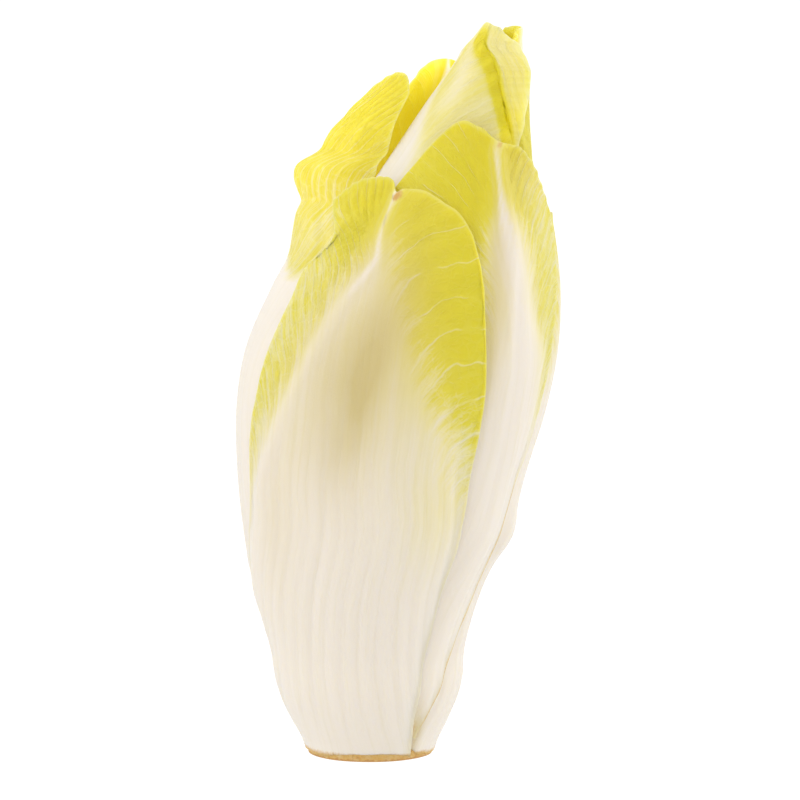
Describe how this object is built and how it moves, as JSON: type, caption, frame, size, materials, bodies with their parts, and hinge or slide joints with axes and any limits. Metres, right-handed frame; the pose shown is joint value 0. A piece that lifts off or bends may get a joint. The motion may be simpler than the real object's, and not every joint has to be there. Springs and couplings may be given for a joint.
{
  "type": "belgian endive",
  "caption": "Whole head of Belgian endive, pale ribbed leaves with yellow edges wrapped around a pointed bud, standing on the flat cut of its core.",
  "frame": {"origin": "centre of the flat cut face of the core", "axes": "+Z from the cut face up along the head, -Y towards the front leaf, +X towards the side to which the tip leans"},
  "size_m": [0.0649, 0.0598, 0.1462],
  "materials": {
    "core": "matt, browned cut",
    "outer_leaf": "waxy, satin",
    "bud_leaf": "waxy, satin",
    "heart_leaf": "matt, crisp"
  },
  "bodies": {
    "root": {"core": "core", "leaf_front": "outer_leaf", "leaf_right_front": "outer_leaf", "leaf_right": "outer_leaf", "leaf_back": "outer_leaf", "leaf_left": "outer_leaf", "leaf_bud_tall": "bud_leaf", "leaf_bud_right": "bud_leaf", "leaf_bud_back_right": "bud_leaf", "leaf_bud_back_left": "bud_leaf", "leaf_inner_front": "bud_leaf", "leaf_inner_back": "bud_leaf", "leaf_inner_left": "bud_leaf", "leaf_inner_right": "bud_leaf", "leaf_heart_front": "heart_leaf", "leaf_heart_back": "heart_leaf", "leaf_heart_tip": "heart_leaf"}
  },
  "joints": []
}
